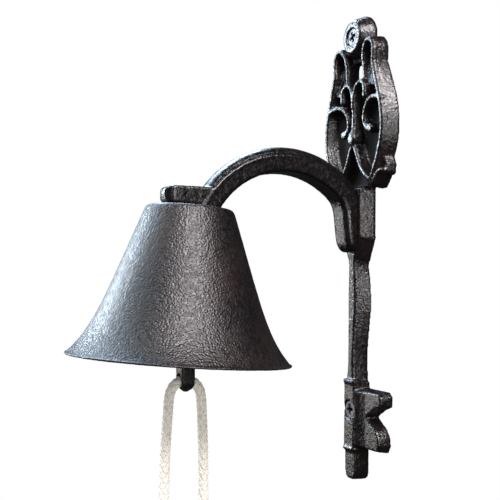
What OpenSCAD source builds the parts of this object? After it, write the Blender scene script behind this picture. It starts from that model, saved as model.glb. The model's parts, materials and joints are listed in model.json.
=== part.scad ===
// Wall mounted bell: a cast-iron bell on a curved arm, which is screwed to a plate shaped like
// an old key. A pull cord is looped through the tail of the clapper.
// X runs to the right, Z runs up, and the object stands out from the wall towards -Y.
// The origin is on the back of the plate, midway between the two wall screws.

/* [Key plate] */
// Distance between the two wall screws
screw_pitch = 200; // [196:0.5:206]
// How far the ring and the collar stand off the wall
plate_depth = 9.2; // [8.6:0.1:10]
// How far the two curled scrolls inside the ring stand off the wall
scroll_depth = 7; // [6:0.2:8.4]
// Thickness of the sunk ground behind the scrolls
ground_t = 2.4; // [1.6:0.1:3]
// How far the long stem of the key stands off the wall
stem_depth = 8.4; // [7:0.2:9]
// How far the toothed bit of the key stands off the wall
bit_depth = 7.4; // [6:0.2:8.4]
// How far the two screw bosses stand off the wall
boss_depth = 9.8; // [9.2:0.1:10.6]
// Radius of the top boss at its front
boss_r = 8.2; // [7:0.1:8.6]
// Radius of the top boss at the wall
boss_base_r = 12; // [9:0.1:12.4]
// Width of the ring's outer band
band_w = 5.6; // [4.8:0.1:6]
// Width of the thin ribs inside the ring
rib_w = 3.2; // [2.6:0.1:3.6]

/* [Arm] */
// Width of the arm from side to side
arm_w = 15; // [13:0.5:16]
// Radius of the arch along its underside
arch_in_r = 43.8; // [43.4:0.1:44.2]
// Radius of the arch along the top edge of its flat sides
arch_out_r = 49.9; // [49:0.1:51]
// How far the rounded crown rises above that edge
crown_rise = 5.2; // [3:0.2:6]

/* [Bell] */
// Distance from the wall to the bell's axis, at its crown
bell_out = 100.8; // [98:0.2:102]
// Angle by which the bell's mouth leans away from the wall
bell_tilt = 3.5; // [0:0.5:4]
// Height of the bell along its axis
bell_h = 74; // [72:0.5:76]
// Outer radius of the mouth
mouth_r = 55; // [53:0.5:56]
// Outer radius of the flat crown
crown_r = 21.6; // [20:0.2:23]
// Thickness of the bell's wall
wall = 3; // [2.6:0.1:3.4]

/* [Clapper] */
// Radius of the ball that strikes the bell
ball_r = 12; // [10:0.2:12.4]
// Depth of the ball's centre below the bell's crown
ball_drop = 62.6; // [60:0.2:64]
// Width of the tail, across the line of the cord hole
tail_w = 9.4; // [9:0.2:10]
// Thickness of the tail, along the cord hole
tail_t = 7; // [6.4:0.2:7.4]
// Depth of the cord hole below the bell's crown
hole_drop = 84.6; // [83:0.2:86]

/* [Cord] */
// Diameter of the pull cord
cord_d = 4.4; // [3.6:0.1:4.6]

/* [Hidden] */
$fn = 64;

// Key plate, below the ring. Heights count from the origin.
screw_z = screw_pitch / 2;
web_w = 18;
web_z = 84;
web_depth = 5.4;
collar_w = 19.2;
collar_top = 17.6;
collar_end = -12.5;
stem_end = -85;
barrel_end = -120.5;
tip_end = -137;
barrel_w = 10.4;
// Half widths of the stem at heights down its length
stem_half = [[-12.5, 9.6], [-16.5, 8], [-19.5, 4.8], [-23, 3.4], [-27, 3.9], [-33, 5.6], [-40, 6.4],
             [-48, 6.2], [-56, 4.9], [-63, 3.5], [-70, 2.8], [-78, 2.9], [-85, 3.8]];

// Screws in the wall and in the arm
screw_r = 2.5;
shank_r = 2.2;
head_r = 4.6;
head_h = 2.6;
recess = 0.9;
arm_screw_z = 7;
arm_screw_len = 12.6;

// Arm. Centres of its arcs, as [distance along Y, height].
arch_in = [-50, -20.4];
arch_out = [-48.9, -19.1];
pad_top = 13.2;
pad_end = -115.5;
pad_round = 3;
foot_top = 8;
foot_end = -16.6;

// Bell and what hangs it. Drops count from the crown along the bell's axis.
crown_z = 2.8;
spacer_h = 1.2;
bolt_r = 3;
thread_gap = 0.05;
hole_gap = 0.4;
crown_t = 3.6;
washer_h = 1.6;
nut_h = 5;
nut_af = 10;
eye_r = 4.8;
eye_wire = 1.8;
seat_gap = 0.25;
bolt_grip = 6.4;
eye_gap = 7;
eye_drop = crown_t + washer_h + nut_h + eye_gap;

// Link between the two eyes, and the clapper below it
link_wire = 1.4;
link_r = 4.2;
link_len = 5;
loop_wire = 1.6;
link_drop = eye_drop + eye_r - eye_wire - link_wire - seat_gap;
link_y = -bell_out - link_drop * sin(bell_tilt);
link_z = crown_z - link_drop * cos(bell_tilt);
swing_z = link_z - link_len - 2 * link_r + link_wire + seat_gap + loop_wire;
loop_z = swing_z - eye_r;
ball_z = crown_z - ball_drop;
hole_z = crown_z - hole_drop;
hole_r = 3.3;
tail_end = hole_z - 5.2;

// Route of the front half of the cord, as [distance in front of the hole, height above it]
route = [[0, 0.4], [2.1, 0.2], [4.1, -0.6], [5.8, -2], [7.1, -3.8], [7.9, -6], [8.3, -8.4],
         [8.6, -12], [8.9, -17], [9.3, -24], [9.7, -33], [10, -45], [10.2, -58], [10.2, -72],
         [9.9, -88], [9.2, -104], [8.1, -119], [6.6, -133], [5, -145], [3.7, -155],
         [2.8, -164], [2.4, -172]];
knot_top = hole_z - 172;
knot_h = 17;
knot_r = 7.5;
cord_tail = 16;
// A little extra length, so that a cut runs past the face that it opens
past = 1;

// ---- Shared shapes ----

// Point at t, from 0 to 1, on the smooth curve from p[1] to p[2], with p[0] and p[3] beside them
function between(p, t) = 0.5 * (2 * p[1] + (p[2] - p[0]) * t
    + (2 * p[0] - 5 * p[1] + 4 * p[2] - p[3]) * t * t
    + (3 * p[1] - p[0] - 3 * p[2] + p[3]) * t * t * t);

// Smooth curve through a few points, in n steps from each to the next
function smooth(pts, n = 4) = let (last = len(pts) - 1)
    [for (i = [0 : last - 1]) for (k = [0 : n - 1])
        between([pts[max(i - 1, 0)], pts[i], pts[i + 1], pts[min(i + 2, last)]], k / n),
     pts[last]];

// Unit direction of a curve at its point i
function heading(c, i) = let (d = c[min(i + 1, len(c) - 1)] - c[max(i - 1, 0)]) d / norm(d);

// Points beside a curve, at the distance off to its left
function beside(c, off) = [for (i = [0 : len(c) - 1]) let (d = heading(c, i)) c[i] + off * [-d[1], d[0]]];

function reversed(c) = [for (i = [len(c) - 1 : -1 : 0]) c[i]];

// Flat strip of width w along a smooth curve, with a round knob on each end
module strip(pts, w) {
    c = smooth(pts);
    polygon(concat(beside(c, w / 2), reversed(beside(c, -w / 2))));
    for (tip = [c[0], c[len(c) - 1]]) translate(tip) circle(d = w * 1.12, $fn = 24);
}

// A drawing on the wall, as X and Z, thickened towards the room
module cast(depth) {
    rotate([90, 0, 0]) linear_extrude(depth) children();
}

// A side view, as Y and Z, thickened evenly to both sides of the middle
module side_view(w) {
    translate([-w / 2, 0, 0]) rotate([90, 0, 90]) linear_extrude(w) children();
}

// Both halves of something that is the same on the left and on the right
module both_sides() {
    children();
    mirror([1, 0, 0]) children();
}

// Places something below the crown, in line with the leaning bell
module on_bell_axis(drop = 0) {
    translate([0, -bell_out, crown_z]) rotate([-bell_tilt, 0, 0]) translate([0, 0, -drop]) children();
}

// A ring of wire, standing in the XZ plane
module wire_ring(r, wire) {
    rotate([90, 0, 0]) rotate_extrude() translate([r, 0]) circle(r = wire, $fn = 32);
}

// ---- Key plate ----

// Thin ribs of the right half of the ring that stand as high as the band: a hook and half the spear
module tall_ribs() {
    strip([[0, 64], [1.4, 68.4], [4.2, 72.6], [7.6, 73.6], [10.2, 71.2], [10.8, 67.6]], rib_w);
    strip([[1.4, 40], [3.6, 36.5], [5.8, 31], [9, 26.6], [14, 22.6], [19.4, 18.8]], rib_w);
}

// Curled scroll of the right half of the ring, which lies a little lower
module curled_scroll() {
    strip([[26.8, 60], [22.4, 63.2], [16.6, 63.6], [12.2, 60.6], [9.8, 55.4], [10.2, 50.4]], rib_w);
    translate([14, 48.8]) circle(r = 4);
}

// Sunk ground that closes the right half of the ring behind its ribs
module ground() {
    polygon([[0, 17], [19, 20], [24, 30], [28, 44], [28, 54], [24, 67], [0, 67]]);
}

// Outer band of the right half of the ring, with the ear above it and the spur below it
module outer_band() {
    strip([[18.6, 79], [20.6, 76.5], [23.8, 67.5], [26.7, 58], [28, 50], [27.6, 42], [25, 34.5],
           [21.6, 28.5], [18.4, 24], [17, 21.5]], band_w);
    strip([[10, 79], [8.8, 86], [8.6, 92], [11.4, 96], [16.2, 96], [19.4, 92.6], [19.6, 88],
           [17.2, 83.6]], rib_w + 0.4);
    polygon([[9, 85], [18, 84.6], [17.4, 81.6], [21, 79], [22.5, 72], [17.6, 70.6], [12.4, 72.4],
             [10, 77]]);
    strip([[16.5, 20], [19.8, 19.4], [22.4, 21.8], [24.8, 24.4], [27.2, 24.6]], rib_w + 1);
    polygon([[9, 17.2], [18.4, 18], [21.5, 24], [22, 30], [16, 31], [9, 25]]);
}

// Drop that hangs from the middle spine of the ring
module drop() {
    translate([0, 44.4]) circle(r = 4.2);
    polygon([[-3.9, 45.8], [3.9, 45.8], [1.6, 52], [1.6, 66], [-1.6, 66], [-1.6, 52]]);
}

// Stem from the collar down to the barrel
module stem() {
    edge = smooth([for (p = stem_half) [p[1], p[0]]], 3);
    polygon(concat(edge, reversed([for (p = edge) [-p[0], p[1]]])));
}

// Bit with its two teeth and the notch between them
module bit() {
    polygon([[0, -89], [25.3, -89], [27.3, -91], [27.3, -95.6], [22.6, -97.2], [13.8, -102.2],
             [16, -104.6], [21.8, -107.6], [25, -111.5], [25.6, -115.2], [24, -119.2], [0, -119.4]]);
}

// Tip of the key, with rounded lower corners
module tip() {
    half = barrel_w / 2;
    polygon([[-half, barrel_end + past], [half, barrel_end + past], [half, tip_end + 3.4],
             [half - 0.9, tip_end + 1.2], [half - 3, tip_end], [3 - half, tip_end],
             [0.9 - half, tip_end + 1.2], [-half, tip_end + 3.4]]);
}

// Barrel block with a raised band at each end
module barrel() {
    band_h = 1.8;
    cast(boss_depth) translate([-barrel_w / 2, barrel_end]) square([barrel_w, stem_end - barrel_end]);
    for (z = [barrel_end, stem_end - band_h])
        cast(boss_depth + 0.8) translate([-barrel_w / 2 - 0.6, z]) square([barrel_w + 1.2, band_h]);
}

// Countersunk hole for a wall screw, from the front of a boss
module wall_screw_hole() {
    rotate([90, 0, 0]) {
        translate([0, 0, -past]) cylinder(r = screw_r + hole_gap, h = boss_depth + 2 * past);
        translate([0, 0, boss_depth - recess - head_h])
            cylinder(r1 = shank_r + 0.02, r2 = head_r + 0.02, h = head_h);
        translate([0, 0, boss_depth - recess - 0.01]) cylinder(r = head_r + hole_gap, h = recess + past);
    }
}

// Countersunk hole for an arm screw, from the back of the collar
module arm_screw_hole() {
    translate([0, past, 0]) rotate([90, 0, 0]) cylinder(r = screw_r + 0.2, h = plate_depth + 2 * past);
    translate([0, past, 0]) rotate([90, 0, 0]) cylinder(r = head_r + 0.2, h = past + 0.3);
    translate([0, -0.3, 0]) rotate([90, 0, 0])
        cylinder(r1 = head_r + 0.02, r2 = screw_r + 0.02, h = head_h);
}

module key_plate() {
    color("#1c1a1a") difference() {
        union() {
            translate([0, 0, screw_z]) rotate([90, 0, 0])
                cylinder(r1 = boss_base_r, r2 = boss_r, h = boss_depth);
            cast(plate_depth) both_sides() outer_band();
            cast(plate_depth) both_sides() tall_ribs();
            cast(scroll_depth) both_sides() curled_scroll();
            cast(ground_t) both_sides() ground();
            cast(boss_depth) drop();
            cast(web_depth) translate([-web_w / 2, web_z]) square([web_w, screw_z - web_z - head_r]);
            cast(plate_depth) translate([-collar_w / 2, collar_end])
                square([collar_w, collar_top - collar_end]);
            cast(stem_depth) stem();
            cast(bit_depth) bit();
            cast(plate_depth - 0.4) tip();
            barrel();
        }
        for (z = [screw_z, -screw_z]) translate([0, 0, z]) wall_screw_hole();
        for (z = [arm_screw_z, -arm_screw_z]) translate([0, 0, z]) arm_screw_hole();
    }
}

// ---- Screws ----

// Countersunk screw with a cross recess. Its head faces -Y and its face is at y = 0.
module wall_screw() {
    thread_start = boss_depth - recess + 0.6;
    thread_len = 24;
    point_len = 6;
    rotate([-90, 0, 0]) difference() {
        union() {
            cylinder(r1 = head_r, r2 = shank_r, h = head_h);
            cylinder(r = shank_r, h = thread_start + past);
            translate([0, 0, thread_start]) cylinder(r = screw_r, h = thread_len);
            translate([0, 0, thread_start + thread_len]) cylinder(r1 = screw_r, r2 = 0.3, h = point_len);
        }
        for (a = [0, 90]) rotate([0, 0, a]) translate([-2.6, -0.5, -past]) cube([5.2, 1, 2 + past]);
    }
}

module wall_screws() {
    color("#3a3a3c") for (z = [screw_z, -screw_z])
        translate([0, -boss_depth + recess, z]) wall_screw();
}

// Countersunk machine screws that hold the arm from behind
module arm_screws() {
    color("#8a8a8c") for (z = [arm_screw_z, -arm_screw_z]) translate([0, -0.3, z]) rotate([90, 0, 0])
        difference() {
            union() {
                cylinder(r1 = head_r, r2 = screw_r, h = head_h);
                cylinder(r = screw_r, h = arm_screw_len);
            }
            for (a = [0, 90]) rotate([0, 0, a]) translate([-2.4, -0.5, -past]) cube([4.8, 1, 1.8 + past]);
        }
}

// ---- Arm ----

// Side view of the arm without its crown: the foot, the arch and the pad
module arm_outline() {
    pad_slope = tan(bell_tilt);
    pad_low = crown_z + spacer_h / cos(bell_tilt);
    low_out = pad_low - (pad_end + bell_out) * pad_slope;
    low_in = pad_low - (bell_out - 86.4) * pad_slope;
    difference() {
        intersection() {
            translate(arch_out) circle(r = arch_out_r, $fn = 128);
            polygon([[-95, low_in], [-95, 60], [-plate_depth, 60], [-plate_depth, low_in]]);
        }
        translate(arch_in) circle(r = arch_in_r, $fn = 128);
    }
    polygon([[-plate_depth, foot_top], [-16.3, foot_top], [-16.4, 3], [-15.4, -4.4], [-14.4, -11],
             [-13, -14.6], [-11, foot_end], [-plate_depth, foot_end]]);
    polygon([[pad_end, low_out], [pad_end, pad_top], [-86, pad_top], [-84, 8], [-86.4, low_in]]);
}

// Rounded crown along the top of the arch
module arm_crown() {
    half = arm_w / 2;
    dome_r = (half * half + crown_rise * crown_rise) / (2 * crown_rise);
    translate([0, arch_out[0], arch_out[1]]) rotate([0, 90, 0]) rotate([0, 0, 128])
        rotate_extrude(angle = 112, $fn = 128) intersection() {
            translate([arch_out_r + crown_rise - dome_r, 0]) circle(r = dome_r);
            translate([arch_out_r - 1, -half]) square([crown_rise + 2, arm_w]);
        }
}

// The arm seen from above, a little wider than it is, with round corners at the pad's end
module arm_plan() {
    half = arm_w / 2 + 0.3;
    for (s = [-1, 1]) translate([s * (half - pad_round), pad_end + pad_round]) circle(r = pad_round);
    translate([pad_round - half, pad_end]) square([2 * (half - pad_round), 2 * pad_round]);
    translate([-half, pad_end + pad_round]) square([2 * half, -pad_end - pad_round - plate_depth]);
}

module bracket_arm() {
    hole_spare = 0.6;
    bolt_hole = bolt_grip + 1;
    tall = 150;
    color("#1a1919") difference() {
        intersection() {
            union() {
                side_view(arm_w) arm_outline();
                arm_crown();
            }
            translate([0, 0, -tall / 2]) linear_extrude(tall) arm_plan();
        }
        for (z = [arm_screw_z, -arm_screw_z]) translate([0, -plate_depth + past, z]) rotate([90, 0, 0])
            cylinder(r = screw_r + thread_gap, h = past + arm_screw_len - plate_depth + hole_spare);
        on_bell_axis(-spacer_h + past) cylinder(r = bolt_r + thread_gap, h = bolt_hole + past);
    }
}

// ---- Bell ----

// Outer radius of the bell at a share s of its height: a straight cone that flares to the lip
function bell_radius(s) = crown_r + (mouth_r - crown_r) * (0.79 * s + 0.21 * pow(s, 7));

module bell() {
    steps = 24;
    corner = 2;
    lip_bevel = 0.8;
    washer_land = 8.5;
    outside = [for (i = [2 : steps]) let (s = i / steps) [bell_radius(s), -s * bell_h]];
    inside = [for (i = [steps : -1 : 2]) let (s = i / steps)
        [bell_radius(s) - wall, -s * bell_h + (i == steps ? lip_bevel : 0)]];
    shoulder = [[0, 0], [crown_r - corner, 0], [crown_r - 0.2, -0.5], [crown_r + 0.7, -corner]];
    land = [[washer_land, -crown_t], [0, -crown_t]];
    color("#2a2626") on_bell_axis() rotate_extrude($fn = 128) difference() {
        polygon(concat(shoulder, outside, inside, land));
        translate([-past, -bell_h]) square([past + bolt_r + hole_gap, 2 * bell_h]);
    }
}

module crown_spacer() {
    color("#3b3734") on_bell_axis() difference() {
        cylinder(r = 7, h = spacer_h);
        translate([0, 0, -past]) cylinder(r = bolt_r + 0.3, h = spacer_h + 2 * past);
    }
}

module hanger_bolt() {
    shank_len = eye_drop - eye_r + spacer_h + bolt_grip;
    color("#8d8d90") on_bell_axis() {
        translate([0, 0, -eye_drop + eye_r]) cylinder(r = bolt_r, h = shank_len);
        translate([0, 0, -eye_drop]) wire_ring(eye_r, eye_wire);
    }
}

module crown_washer() {
    color("#9a9a9d") on_bell_axis(crown_t + washer_h) difference() {
        cylinder(r = 7, h = washer_h);
        translate([0, 0, -past]) cylinder(r = bolt_r + 0.3, h = washer_h + 2 * past);
    }
}

module crown_nut() {
    color("#97979a") on_bell_axis(crown_t + washer_h + nut_h) difference() {
        cylinder(d = nut_af / cos(30), h = nut_h, $fn = 6);
        translate([0, 0, -past]) cylinder(r = bolt_r + thread_gap, h = nut_h + 2 * past);
    }
}

// ---- Clapper ----

// Closed oval link of wire, standing in the YZ plane
module clapper_link() {
    color("#8d8d90") translate([0, link_y, link_z - link_r]) rotate([0, 0, 90]) {
        intersection() {
            wire_ring(link_r, link_wire);
            translate([-10, -10, 0]) cube(20);
        }
        for (s = [-1, 1]) translate([s * link_r, 0, -link_len])
            cylinder(r = link_wire, h = link_len, $fn = 32);
        translate([0, 0, -link_len]) intersection() {
            wire_ring(link_r, link_wire);
            translate([-10, -10, -20]) cube(20);
        }
    }
}

module clapper() {
    shank_w = 6.4;
    color("#1a1919") translate([0, link_y, 0]) difference() {
        union() {
            translate([0, 0, loop_z]) wire_ring(eye_r, loop_wire);
            translate([0, 0, ball_z]) cylinder(r = shank_w / 2, h = loop_z - eye_r - ball_z);
            translate([0, 0, ball_z]) sphere(r = ball_r, $fn = 96);
            translate([-tail_w / 2, -tail_t / 2, hole_z]) cube([tail_w, tail_t, ball_z - hole_z]);
            translate([0, tail_t / 2, 0]) cast(tail_t)
                polygon([[-tail_w / 2, hole_z + past], [tail_w / 2, hole_z + past], [tail_w / 2, hole_z - 1],
                         [2.6, tail_end], [-2.6, tail_end], [-tail_w / 2, hole_z - 1]]);
        }
        translate([0, 0, hole_z]) rotate([90, 0, 0]) cylinder(r = hole_r, h = 20, center = true);
    }
}

// ---- Cord ----

// Ring of n points round point i of a route in the YZ plane
function route_ring(c, i, n) = let (d = i == 0 ? [1, 0] : heading(c, i))
    [for (k = [0 : n - 1]) let (a = 360 * k / n, u = cord_d / 2 * cos(a), v = cord_d / 2 * sin(a))
        [u, -(c[i][0] - v * d[1]), c[i][1] + v * d[0]]];

// Closed tube along a route
module cord_tube(c) {
    n = 8;
    last = len(c) - 1;
    points = [for (i = [0 : last]) each route_ring(c, i, n)];
    sides = [for (i = [0 : last - 1]) for (k = [0 : n - 1]) let (m = (k + 1) % n)
        [i * n + k, i * n + m, (i + 1) * n + m, (i + 1) * n + k]];
    caps = [[for (k = [n - 1 : -1 : 0]) k], [for (k = [0 : n - 1]) last * n + k]];
    polyhedron(points, concat(sides, caps));
}

module cord_front() {
    color("#efece2") translate([0, link_y, hole_z]) cord_tube(route);
}

module cord_back() {
    color("#efece2") translate([0, link_y, hole_z]) mirror([0, 1, 0]) cord_tube(route);
}

// Overhand knot that ties both ends, with the two short ends below it
module cord_knot() {
    shape = [for (a = [0 : 15 : 180]) [knot_r * pow(sin(a), 0.8), knot_h / 2 * cos(a)]];
    color("#efece2") translate([0, link_y, knot_top - knot_h / 2]) {
        rotate_extrude($fn = 32) polygon([for (p = shape) [max(p[0], 0), p[1]]]);
        for (s = [-1, 1]) translate([0, s * 2.6, -knot_h / 2 - cord_tail + 3])
            cylinder(d = cord_d, h = cord_tail, $fn = 24);
    }
}

key_plate();
bracket_arm();
arm_screws();
wall_screws();
bell();
crown_spacer();
hanger_bolt();
crown_washer();
crown_nut();
clapper_link();
clapper();
cord_front();
cord_back();
cord_knot();
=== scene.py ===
"""Looks of a wall mounted bell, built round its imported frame.

Shape lists are in millimetres in the part's own frame: X to the right, Z up, the room towards -Y.
They become metres as each mesh is made.
"""
import json
import math
from itertools import product

import bmesh
import bpy
from mathutils import Matrix, Vector


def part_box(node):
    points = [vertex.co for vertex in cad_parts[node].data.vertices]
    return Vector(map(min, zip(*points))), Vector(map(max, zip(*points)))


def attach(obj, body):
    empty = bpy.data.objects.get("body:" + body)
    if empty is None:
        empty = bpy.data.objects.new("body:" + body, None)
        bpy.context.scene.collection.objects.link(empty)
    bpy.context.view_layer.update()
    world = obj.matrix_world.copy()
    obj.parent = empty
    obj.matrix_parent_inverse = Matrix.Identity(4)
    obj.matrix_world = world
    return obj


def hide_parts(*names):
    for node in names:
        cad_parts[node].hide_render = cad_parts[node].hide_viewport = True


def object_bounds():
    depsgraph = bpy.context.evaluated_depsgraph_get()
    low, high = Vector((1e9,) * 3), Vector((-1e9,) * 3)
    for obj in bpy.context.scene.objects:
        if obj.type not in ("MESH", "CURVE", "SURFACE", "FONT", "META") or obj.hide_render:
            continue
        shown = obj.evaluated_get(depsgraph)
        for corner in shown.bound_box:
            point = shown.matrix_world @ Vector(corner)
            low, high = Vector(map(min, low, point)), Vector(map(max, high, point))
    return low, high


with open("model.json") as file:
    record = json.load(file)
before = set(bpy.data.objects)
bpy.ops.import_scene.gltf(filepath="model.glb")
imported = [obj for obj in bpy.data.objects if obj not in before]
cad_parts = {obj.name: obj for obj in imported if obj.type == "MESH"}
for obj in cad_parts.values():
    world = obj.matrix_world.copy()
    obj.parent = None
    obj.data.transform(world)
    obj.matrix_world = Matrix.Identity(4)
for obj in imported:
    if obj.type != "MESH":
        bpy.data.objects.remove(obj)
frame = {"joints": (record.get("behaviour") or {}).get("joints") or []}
cad_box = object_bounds()

MM = 0.001
JOINT = {j["name"]: Vector(j["pos_m"]) / MM for j in frame["joints"]}


def box_mm(node):
    """A CAD node's lowest and highest corners, in millimetres."""
    lo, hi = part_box(node)
    return lo / MM, hi / MM


# ---------------------------------------------------------------- camera, light and floor

def link(name, data):
    obj = bpy.data.objects.new(name, data)
    bpy.context.scene.collection.objects.link(obj)
    return obj


def make_camera():
    """Camera a little below the arm and to the right, turned by azimuth, pitched up and rolled slightly."""
    azimuth, pitch, roll = (math.radians(a) for a in (65.651, 2.355, 0.696))
    data = bpy.data.cameras.new("camera")
    data.sensor_width = 36
    data.lens = 61.6
    data.clip_start = 0.01
    cam = link("camera", data)
    turn = Matrix.Rotation(azimuth, 4, "Z") @ Matrix.Rotation(math.pi / 2 + pitch, 4, "X")
    place = Matrix.Translation((0.394708, -0.246845, -0.034723))
    cam.matrix_world = place @ turn @ Matrix.Rotation(roll, 4, "Z")
    bpy.context.scene.camera = cam


def area_light(name, place, target, size, power, colour):
    data = bpy.data.lights.new(name, "AREA")
    data.shape = "RECTANGLE"
    data.size, data.size_y = size
    data.energy = power
    data.color = colour
    lamp = link(name, data)
    lamp.location = place
    lamp.rotation_euler = (Vector(target) - Vector(place)).to_track_quat("-Z", "Y").to_euler()


def make_lights():
    """The window and the fill light the bell's left, and the room its middle. The low side and front
    lights show in the plate's right-hand and front faces, and the crown light shows in the arch's top."""
    bell = (0, -0.08, 0)
    area_light("window", (-1.0, -0.72, 1.0), bell, (0.9, 0.8), 12, (0.52, 0.76, 1.0))
    area_light("room", (0.86, -0.16, 0.86), bell, (0.7, 0.6), 30, (1.0, 0.95, 0.97))
    area_light("side", (1.15, -0.14, 0.08), (0, 0, 0.02), (0.22, 0.34), 4, (1.0, 0.96, 0.96))
    area_light("front", (-1.15, -0.78, 0.34), (0, -0.01, 0.05), (0.32, 0.38), 17, (0.78, 0.90, 1.0))
    area_light("crown", (-0.85, -0.06, 0.95), bell, (0.7, 0.6), 20, (0.62, 0.80, 1.0))
    area_light("low", (-1.15, -0.80, -0.22), (0, -0.01, -0.1), (0.5, 0.35), 2.5, (1.0, 0.95, 0.90))
    area_light("fill", (-0.25, -1.20, 0.85), bell, (0.8, 0.6), 9, (0.88, 0.93, 1.0))


def make_world():
    """White behind everything, a soft white light for matt surfaces, and a dim grey in reflections."""
    world = bpy.data.worlds.new("studio")
    bpy.context.scene.world = world
    world.use_nodes = True
    tree = world.node_tree
    tree.nodes.clear()
    out = tree.nodes.new("ShaderNodeOutputWorld")
    path = tree.nodes.new("ShaderNodeLightPath")
    shade = background(tree, (0.55, 0.6, 0.68, 1), 0.05)
    for ray, colour, strength in (("Is Diffuse Ray", (1, 0.98, 0.95, 1), 0.5),
                                  ("Is Camera Ray", (1, 1, 1, 1), 1)):
        mix = tree.nodes.new("ShaderNodeMixShader")
        tree.links.new(path.outputs[ray], mix.inputs["Fac"])
        tree.links.new(shade, mix.inputs[1])
        tree.links.new(background(tree, colour, strength), mix.inputs[2])
        shade = mix.outputs[0]
    tree.links.new(shade, out.inputs["Surface"])
    bpy.context.scene.view_settings.view_transform = "Standard"


def background(tree, colour, strength):
    node = tree.nodes.new("ShaderNodeBackground")
    node.inputs["Color"].default_value = colour
    node.inputs["Strength"].default_value = strength
    return node.outputs[0]


def flat_sheet(name, corners):
    mesh = bpy.data.meshes.new(name)
    mesh.from_pydata(corners, [], [(0, 1, 2, 3)])
    return link(name, mesh)


def make_floor():
    """A pale floor below the cord, and the pale wall that the bell hangs on."""
    low = cad_box[0].z - 0.02
    back = 0.0004
    floor = flat_sheet("floor", [(-6, -6, low), (6, -6, low), (6, 6, low), (-6, 6, low)])
    floor.data.materials.append(backdrop_material("floor_white"))
    wall = flat_sheet("wall", [(-3, back, low), (3, back, low), (3, back, 3), (-3, back, 3)])
    wall.data.materials.append(backdrop_material("wall_white"))
    for sheet in (floor, wall):
        for kind in ("diffuse", "glossy", "transmission", "volume_scatter", "shadow"):
            setattr(sheet, "visible_" + kind, False)


def backdrop_material(name):
    """Plain white in front and clear from behind, so that the object's back and underside can be seen."""
    mat = bpy.data.materials.new(name)
    mat.use_nodes = True
    tree = mat.node_tree
    tree.nodes.clear()
    out = tree.nodes.new("ShaderNodeOutputMaterial")
    mix = tree.nodes.new("ShaderNodeMixShader")
    white = tree.nodes.new("ShaderNodeEmission")
    clear = tree.nodes.new("ShaderNodeBsdfTransparent")
    side = tree.nodes.new("ShaderNodeNewGeometry")
    tree.links.new(side.outputs["Backfacing"], mix.inputs["Fac"])
    tree.links.new(white.outputs[0], mix.inputs[1])
    tree.links.new(clear.outputs[0], mix.inputs[2])
    tree.links.new(mix.outputs[0], out.inputs["Surface"])
    return mat


# ---------------------------------------------------------------- mesh helpers

def smooth_line(points, step):
    """A smooth curve through the points, with a point about every step."""
    pts = [Vector(p) for p in points]
    line = []
    for i in range(len(pts) - 1):
        a, b, c, d = pts[max(i - 1, 0)], pts[i], pts[i + 1], pts[min(i + 2, len(pts) - 1)]
        n = max(1, round((c - b).length / step))
        for k in range(n):
            t = k / n
            line.append(0.5 * (2 * b + (c - a) * t + (2 * a - 5 * b + 4 * c - d) * t * t
                               + (3 * b - a - 3 * c + d) * t * t * t))
    return line + [pts[-1]]


def headings(line):
    """Unit direction of a line at each of its points."""
    last = len(line) - 1
    return [(line[min(i + 1, last)] - line[max(i - 1, 0)]).normalized() for i in range(len(line))]


def angles(count):
    """Evenly spaced angles round a circle."""
    return [2 * math.pi * k / count for k in range(count)]


def ring_at(place, radius, height, sides):
    """Points round the Z axis of place."""
    return [place @ Vector((radius * math.cos(a), radius * math.sin(a), height)) for a in angles(sides)]


def skin(bm, rings, loop=False):
    """Faces from each ring of points to the next, closed by two caps or, for a loop, back to the first."""
    made = [[bm.verts.new(p) for p in ring] for ring in rings]
    n = len(rings[0])
    for a, b in list(zip(made, made[1:])) + ([(made[-1], made[0])] if loop else []):
        for k in range(n):
            m = (k + 1) % n
            bm.faces.new((a[k], a[m], b[m], b[k]))
    if not loop:
        bm.faces.new(made[0][::-1])
        bm.faces.new(made[-1])


def lathe(bm, profile, place, steps=48, loop=False):
    """Turns a profile of (radius, height) round the Z axis of place."""
    tip_r = 1e-4
    skin(bm, [ring_at(place, max(r, tip_r), h, steps) for r, h in profile], loop=loop)


def piece(name, bm, material, body, node):
    """Makes a mesh drawn in millimetres into a piece that rides on a body and stands for a CAD node."""
    bmesh.ops.remove_doubles(bm, verts=bm.verts, dist=0.0005)
    bmesh.ops.recalc_face_normals(bm, faces=bm.faces)
    bmesh.ops.scale(bm, vec=(MM, MM, MM), verts=bm.verts)
    mesh = bpy.data.meshes.new(name)
    bm.to_mesh(mesh)
    bm.free()
    mesh.shade_smooth()
    mesh.materials.append(material)
    obj = link(name, mesh)
    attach(obj, body)
    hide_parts(node)
    return obj


def keep_shape(obj):
    """Applies the object's modifiers."""
    deps = bpy.context.evaluated_depsgraph_get()
    mesh = bpy.data.meshes.new_from_object(obj.evaluated_get(deps))
    obj.modifiers.clear()
    obj.data = mesh


def melt(obj, voxel, rounds, grain, grain_size, cutter):
    """Joins the closed shapes in a piece into one casting, cuts its holes, rounds its edges and
    makes its skin uneven. The cutter is a mesh in millimetres of what is taken away."""
    remesh(obj, voxel)
    bmesh.ops.scale(cutter, vec=(MM, MM, MM), verts=cutter.verts)
    bmesh.ops.recalc_face_normals(cutter, faces=cutter.faces)
    mesh = bpy.data.meshes.new(obj.name + "_holes")
    cutter.to_mesh(mesh)
    cutter.free()
    knife = link(obj.name + "_holes", mesh)
    hole = obj.modifiers.new("hole", "BOOLEAN")
    hole.object = knife
    hole.operation = "DIFFERENCE"
    remesh(obj, voxel)
    ease = obj.modifiers.new("ease", "SMOOTH")
    ease.factor = 0.5
    ease.iterations = rounds
    add_grain(obj, grain, grain_size)
    keep_shape(obj)
    bpy.data.objects.remove(knife)
    obj.data.shade_smooth()


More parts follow.
